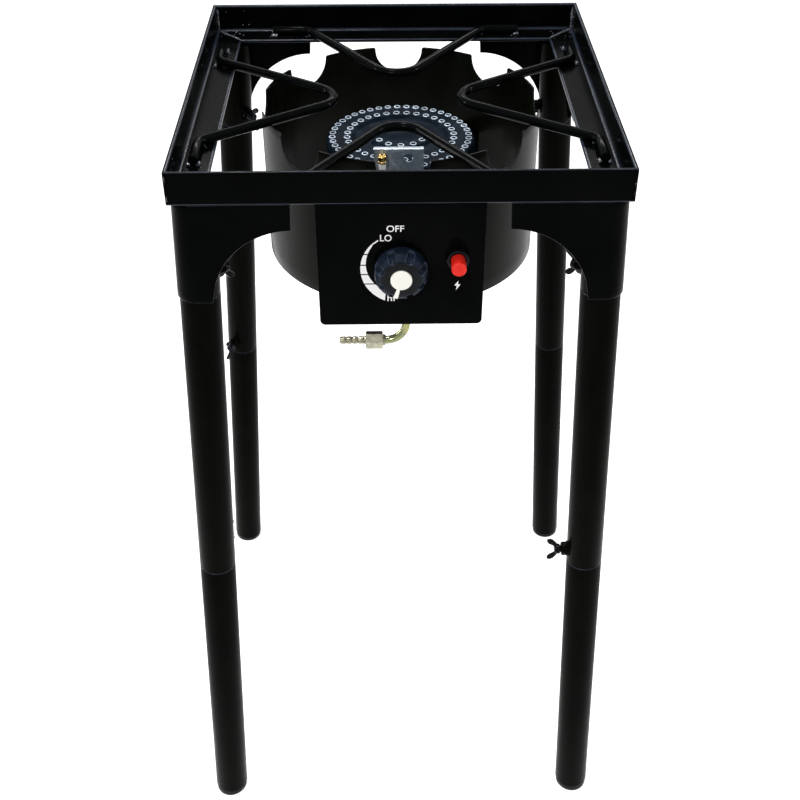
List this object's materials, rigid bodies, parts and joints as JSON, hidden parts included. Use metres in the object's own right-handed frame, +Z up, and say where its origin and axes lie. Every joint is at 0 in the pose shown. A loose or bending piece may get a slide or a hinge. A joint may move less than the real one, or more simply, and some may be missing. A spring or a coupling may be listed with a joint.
{
  "type": "turkey fryer kit",
  "caption": "Tall square gas burner stand: angle-iron frame with bent-rod pot supports, scalloped windscreen, cast burner, splayed sectional legs, and a control panel with knob and igniter.",
  "frame": {"origin": "on the floor, in the middle of the four feet", "axes": "+Z up; the control panel faces -Y; +X to the right seen from the front"},
  "size_m": [0.5003, 0.4893, 0.8382],
  "materials": {
    "powder_coat": "gloss black powder coat",
    "cast_iron": "bare dark grey casting",
    "zinc_plate": "bright zinc plate",
    "yellow_zinc": "yellow passivated zinc",
    "brass": "machined",
    "steel": "bright steel",
    "black_plastic": "moulded black",
    "knob_plastic": "moulded blue-black",
    "white_plastic": "smooth white",
    "red_plastic": "smooth red",
    "ceramic": "glazed white",
    "lead_sleeve": "black insulation"
  },
  "bodies": {
    "stand": {"back_left_corner_bracket": "powder_coat", "back_left_leg_socket": "powder_coat", "back_pot_support": "powder_coat", "back_rail": "powder_coat", "back_right_corner_bracket": "powder_coat", "back_right_leg_socket": "powder_coat", "back_tab_screw": "steel", "burner_body": "cast_iron", "burner_bolt": "steel", "burner_cap": "cast_iron", "burner_crossbar": "powder_coat", "control_panel": "powder_coat", "electrode_ferrule": "brass", "electrode_insulator": "ceramic", "electrode_pin": "steel", "flare_nut": "steel", "front_left_corner_bracket": "powder_coat", "front_left_leg_socket": "powder_coat", "front_pot_support": "powder_coat", "front_rail": "powder_coat", "front_right_corner_bracket": "powder_coat", "front_right_leg_socket": "powder_coat", "front_tab_screw": "steel", "gas_nozzle": "brass", "hose_barb": "steel", "igniter_bracket": "zinc_plate", "igniter_housing": "black_plastic", "igniter_lead": "lead_sleeve", "inlet_pipe": "yellow_zinc", "left_pot_support": "powder_coat", "left_rail": "powder_coat", "right_pot_support": "powder_coat", "right_rail": "powder_coat", "valve_body": "brass", "windscreen": "powder_coat"},
    "knob": {"knob": "knob_plastic", "knob_cap": "white_plastic", "valve_stem": "brass"},
    "igniter_button": {"igniter_button": "red_plastic"},
    "air_shutter": {"air_shutter": "zinc_plate"},
    "front_left_middle_leg": {"front_left_middle_leg": "powder_coat"},
    "front_left_lower_leg": {"front_left_lower_leg": "powder_coat", "front_left_foot_plug": "black_plastic"},
    "front_left_upper_wing_screw": {"front_left_upper_wing_screw": "powder_coat"},
    "front_left_lower_wing_screw": {"front_left_lower_wing_screw": "powder_coat"},
    "front_right_middle_leg": {"front_right_middle_leg": "powder_coat"},
    "front_right_lower_leg": {"front_right_lower_leg": "powder_coat", "front_right_foot_plug": "black_plastic"},
    "front_right_upper_wing_screw": {"front_right_upper_wing_screw": "powder_coat"},
    "front_right_lower_wing_screw": {"front_right_lower_wing_screw": "powder_coat"},
    "back_left_middle_leg": {"back_left_middle_leg": "powder_coat"},
    "back_left_lower_leg": {"back_left_lower_leg": "powder_coat", "back_left_foot_plug": "black_plastic"},
    "back_left_upper_wing_screw": {"back_left_upper_wing_screw": "powder_coat"},
    "back_left_lower_wing_screw": {"back_left_lower_wing_screw": "powder_coat"},
    "back_right_middle_leg": {"back_right_middle_leg": "powder_coat"},
    "back_right_lower_leg": {"back_right_lower_leg": "powder_coat", "back_right_foot_plug": "black_plastic"},
    "back_right_upper_wing_screw": {"back_right_upper_wing_screw": "powder_coat"},
    "back_right_lower_wing_screw": {"back_right_lower_wing_screw": "powder_coat"}
  },
  "joints": [
    {"name": "knob_turn", "type": "hinge", "parent": "stand", "child": "knob", "pos_m": [0, -0.2132, 0.7412], "axis": [0, 1, 0], "range_deg": [0, 165]},
    {"name": "igniter_button_press", "type": "slide", "parent": "stand", "child": "igniter_button", "axis": [0, 1, 0], "range_m": [0, 0.005], "stiffness_N_per_m": 1500},
    {"name": "air_shutter_turn", "type": "hinge", "parent": "stand", "child": "air_shutter", "pos_m": [0, -0.146, 0.7412], "axis": [0, 1, 0], "range_deg": [0, 60]},
    {"name": "front_left_middle_leg_slide", "type": "slide", "parent": "stand", "child": "front_left_middle_leg", "axis": [-0.0399, -0.0549, -0.9977], "range_m": [0, 0.036]},
    {"name": "front_left_lower_leg_slide", "type": "slide", "parent": "front_left_middle_leg", "child": "front_left_lower_leg", "axis": [-0.0399, -0.0549, -0.9977], "range_m": [0, 0.036]},
    {"name": "front_left_upper_wing_screw_turn", "type": "hinge", "parent": "stand", "child": "front_left_upper_wing_screw", "pos_m": [-0.16947, -0.17073, 0.72249], "axis": [0.706, 0.705, -0.067], "continuous": true},
    {"name": "front_left_lower_wing_screw_turn", "type": "hinge", "parent": "front_left_middle_leg", "child": "front_left_lower_wing_screw", "pos_m": [-0.19094, -0.18405, 0.38703], "axis": [0.3401, 0.9381, -0.0652], "continuous": true},
    {"name": "front_right_middle_leg_slide", "type": "slide", "parent": "stand", "child": "front_right_middle_leg", "axis": [0.0399, -0.0549, -0.9977], "range_m": [0, 0.036]},
    {"name": "front_right_lower_leg_slide", "type": "slide", "parent": "front_right_middle_leg", "child": "front_right_lower_leg", "axis": [0.0399, -0.0549, -0.9977], "range_m": [0, 0.036]},
    {"name": "front_right_upper_wing_screw_turn", "type": "hinge", "parent": "stand", "child": "front_right_upper_wing_screw", "pos_m": [0.16947, -0.17073, 0.72249], "axis": [-0.706, 0.705, -0.067], "continuous": true},
    {"name": "front_right_lower_wing_screw_turn", "type": "hinge", "parent": "front_right_middle_leg", "child": "front_right_lower_wing_screw", "pos_m": [0.17644, -0.20474, 0.38759], "axis": [-0.9992, -0.0022, -0.0398], "continuous": true},
    {"name": "back_left_middle_leg_slide", "type": "slide", "parent": "stand", "child": "back_left_middle_leg", "axis": [-0.0618, 0.0548, -0.9966], "range_m": [0, 0.036]},
    {"name": "back_left_lower_leg_slide", "type": "slide", "parent": "back_left_middle_leg", "child": "back_left_lower_leg", "axis": [-0.0618, 0.0548, -0.9966], "range_m": [0, 0.036]},
    {"name": "back_left_upper_wing_screw_turn", "type": "hinge", "parent": "stand", "child": "back_left_upper_wing_screw", "pos_m": [-0.17132, 0.17073, 0.72213], "axis": [0.7044, -0.705, -0.0824], "continuous": true},
    {"name": "back_left_lower_wing_screw_turn", "type": "hinge", "parent": "back_left_middle_leg", "child": "back_left_lower_wing_screw", "pos_m": [-0.21695, 0.18477, 0.38793], "axis": [-0.4242, -0.9053, -0.0235], "continuous": true},
    {"name": "back_right_middle_leg_slide", "type": "slide", "parent": "stand", "child": "back_right_middle_leg", "axis": [0.0618, 0.0548, -0.9966], "range_m": [0, 0.036]},
    {"name": "back_right_lower_leg_slide", "type": "slide", "parent": "back_right_middle_leg", "child": "back_right_lower_leg", "axis": [0.0618, 0.0548, -0.9966], "range_m": [0, 0.036]},
    {"name": "back_right_upper_wing_screw_turn", "type": "hinge", "parent": "stand", "child": "back_right_upper_wing_screw", "pos_m": [0.16486, 0.18631, 0.72259], "axis": [-0.9981, 0.0034, -0.0617], "continuous": true},
    {"name": "back_right_lower_wing_screw_turn", "type": "hinge", "parent": "back_right_middle_leg", "child": "back_right_lower_wing_screw", "pos_m": [0.20077, 0.22559, 0.38917], "axis": [-0.3112, 0.9498, 0.0329], "continuous": true}
  ]
}
